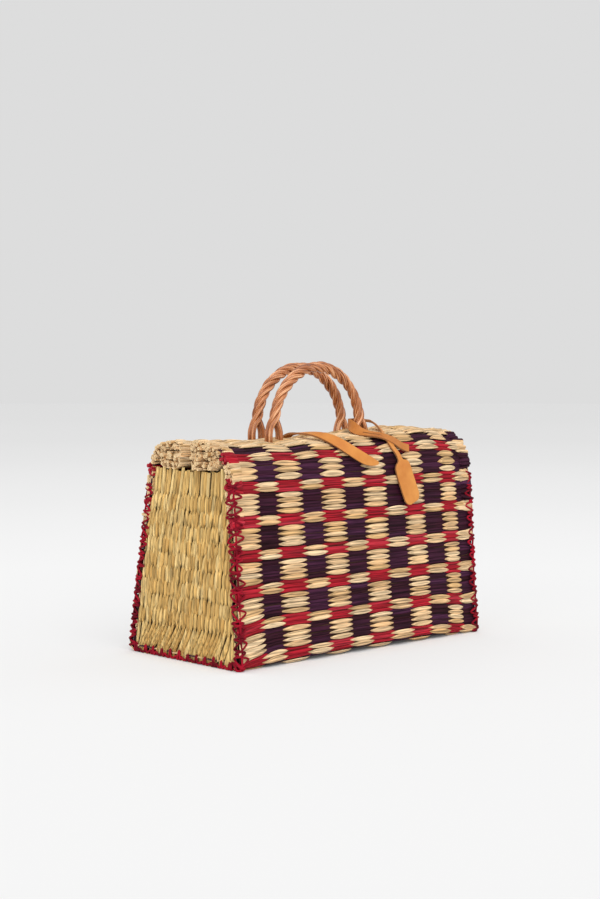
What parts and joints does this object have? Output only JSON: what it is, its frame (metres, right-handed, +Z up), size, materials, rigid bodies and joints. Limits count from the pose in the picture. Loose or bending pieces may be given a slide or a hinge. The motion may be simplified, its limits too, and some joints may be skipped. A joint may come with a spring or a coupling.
{
  "type": "reed bag",
  "caption": "Woven rush basket bag with a checked pattern, folding top flaps, laced end panels, twisted willow handles and leather straps.",
  "frame": {"origin": "middle of the underside, on the surface that the bag stands on", "axes": "+X along the bag, +Y from the front face to the back face, +Z up"},
  "size_m": [0.3232, 0.1575, 0.2732],
  "materials": {
    "rush": "natural dried rush, satin",
    "red_rush": "red-dyed rush, satin",
    "purple_rush": "dark purple-dyed rush, satin",
    "end_rush": "natural golden rush, satin",
    "lacing": "dark red twisted cord",
    "willow": "peeled and boiled willow, satin",
    "leather": "vegetable-tanned leather, matt"
  },
  "bodies": {
    "root": {"mat": "rush", "red_reeds": "red_rush", "purple_reeds": "purple_rush", "left_end_mat": "end_rush", "right_end_mat": "end_rush", "left_lacing": "lacing", "right_lacing": "lacing", "front_handle_strand_1": "willow", "front_handle_strand_2": "willow", "front_handle_strand_3": "willow", "front_handle_strand_4": "willow", "back_handle_strand_1": "willow", "back_handle_strand_2": "willow", "back_handle_strand_3": "willow", "back_handle_strand_4": "willow", "closing_strap": "leather", "tag_strap": "leather"}
  },
  "joints": []
}
